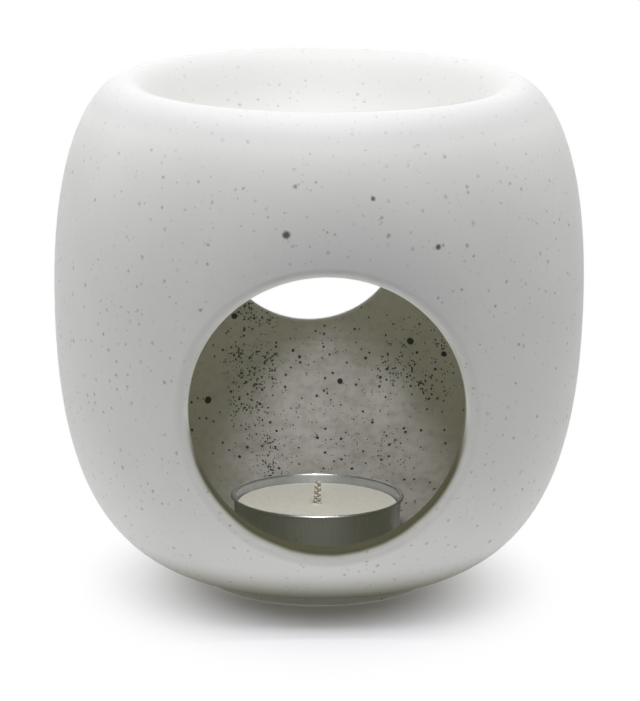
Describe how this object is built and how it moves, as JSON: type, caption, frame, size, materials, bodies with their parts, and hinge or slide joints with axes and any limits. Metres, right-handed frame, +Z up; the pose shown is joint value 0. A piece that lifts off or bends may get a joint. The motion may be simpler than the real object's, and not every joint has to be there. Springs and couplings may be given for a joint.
{
  "type": "essential oil burner",
  "caption": "Barrel-shaped stoneware oil burner: a shallow oil bowl over a round chamber with an oval mouth, a back vent and a lift-out tealight.",
  "frame": {"origin": "on the burner's upright axis, at the level of the foot ring's underside", "axes": "+Z up, -Y out of the mouth, +X to the right as seen from the front"},
  "size_m": [0.115, 0.1131, 0.111],
  "materials": {
    "speckled_glaze": "satin white glaze with fine iron specks",
    "chamber_wash": "thin olive-grey glaze wash with iron specks",
    "bare_stoneware": "unglazed, sponged smooth",
    "drawn_aluminium": "thin bright drawn sheet",
    "pressed_wax": "pressed white paraffin wax",
    "cotton_wick": "waxed braided cotton",
    "tinned_steel": "thin tinned sheet"
  },
  "bodies": {
    "burner": {"body_shell": "speckled_glaze", "oil_bowl": "speckled_glaze", "chamber_floor": "chamber_wash", "foot_ring": "bare_stoneware"},
    "tealight": {"tealight_cup": "drawn_aluminium", "tealight_wax": "pressed_wax", "tealight_wick": "cotton_wick", "wick_sustainer": "tinned_steel"}
  },
  "joints": [
    {"name": "tealight_lift", "type": "slide", "parent": "burner", "child": "tealight", "axis": [0, -0.8387, 0.5446], "range_m": [0, 0.1]}
  ]
}
